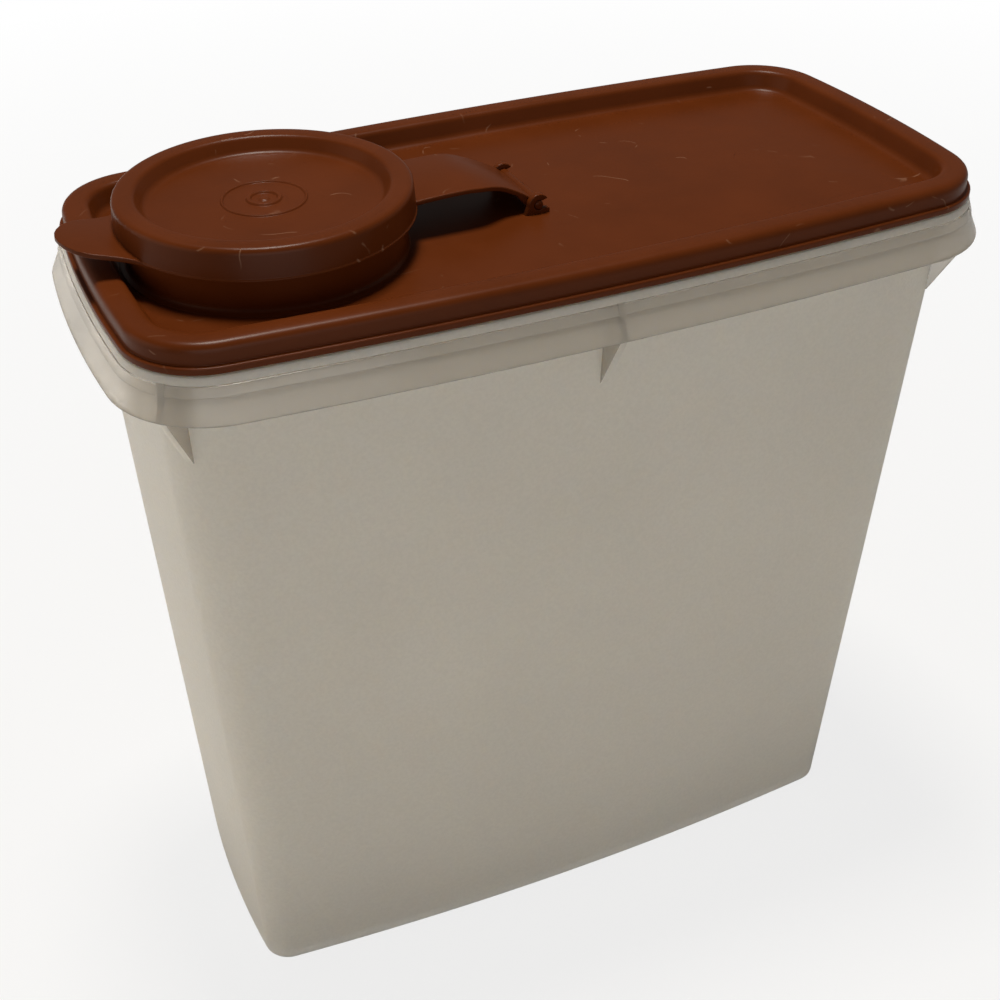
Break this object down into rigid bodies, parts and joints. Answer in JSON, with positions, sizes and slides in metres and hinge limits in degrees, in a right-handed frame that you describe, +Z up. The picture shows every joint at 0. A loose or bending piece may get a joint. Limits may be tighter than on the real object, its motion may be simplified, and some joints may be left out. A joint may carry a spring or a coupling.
{
  "type": "cereal container",
  "caption": "Tall narrow tapered food container with an overhanging skirt, a press-on lid with an offset round spout, and a flip cap on a hinged strap",
  "frame": {"origin": "On the surface it stands on, under the middle of the overall box", "axes": "+Z up; X along the lid's length, with the spout and its lift tab towards -X; Y across the container"},
  "size_m": [0.2492, 0.126, 0.2456],
  "materials": {
    "tub": "translucent, unpigmented polypropylene, satin moulded",
    "lid": "dark brown polyethylene, satin gloss",
    "cap": "dark brown polyethylene, satin gloss, lightly worn"
  },
  "bodies": {
    "tub": {"container_tub": "tub"},
    "lid": {"lid": "lid"},
    "cap": {"flip_cap": "cap"}
  },
  "joints": [
    {"name": "lid_lift", "type": "slide", "parent": "tub", "child": "lid", "axis": [0, 0, 1], "range_m": [0, 0.08]},
    {"name": "cap_hinge", "type": "hinge", "parent": "lid", "child": "cap", "pos_m": [0, 0, 0.231], "axis": [0, 1, 0], "range_deg": [0, 155]}
  ]
}
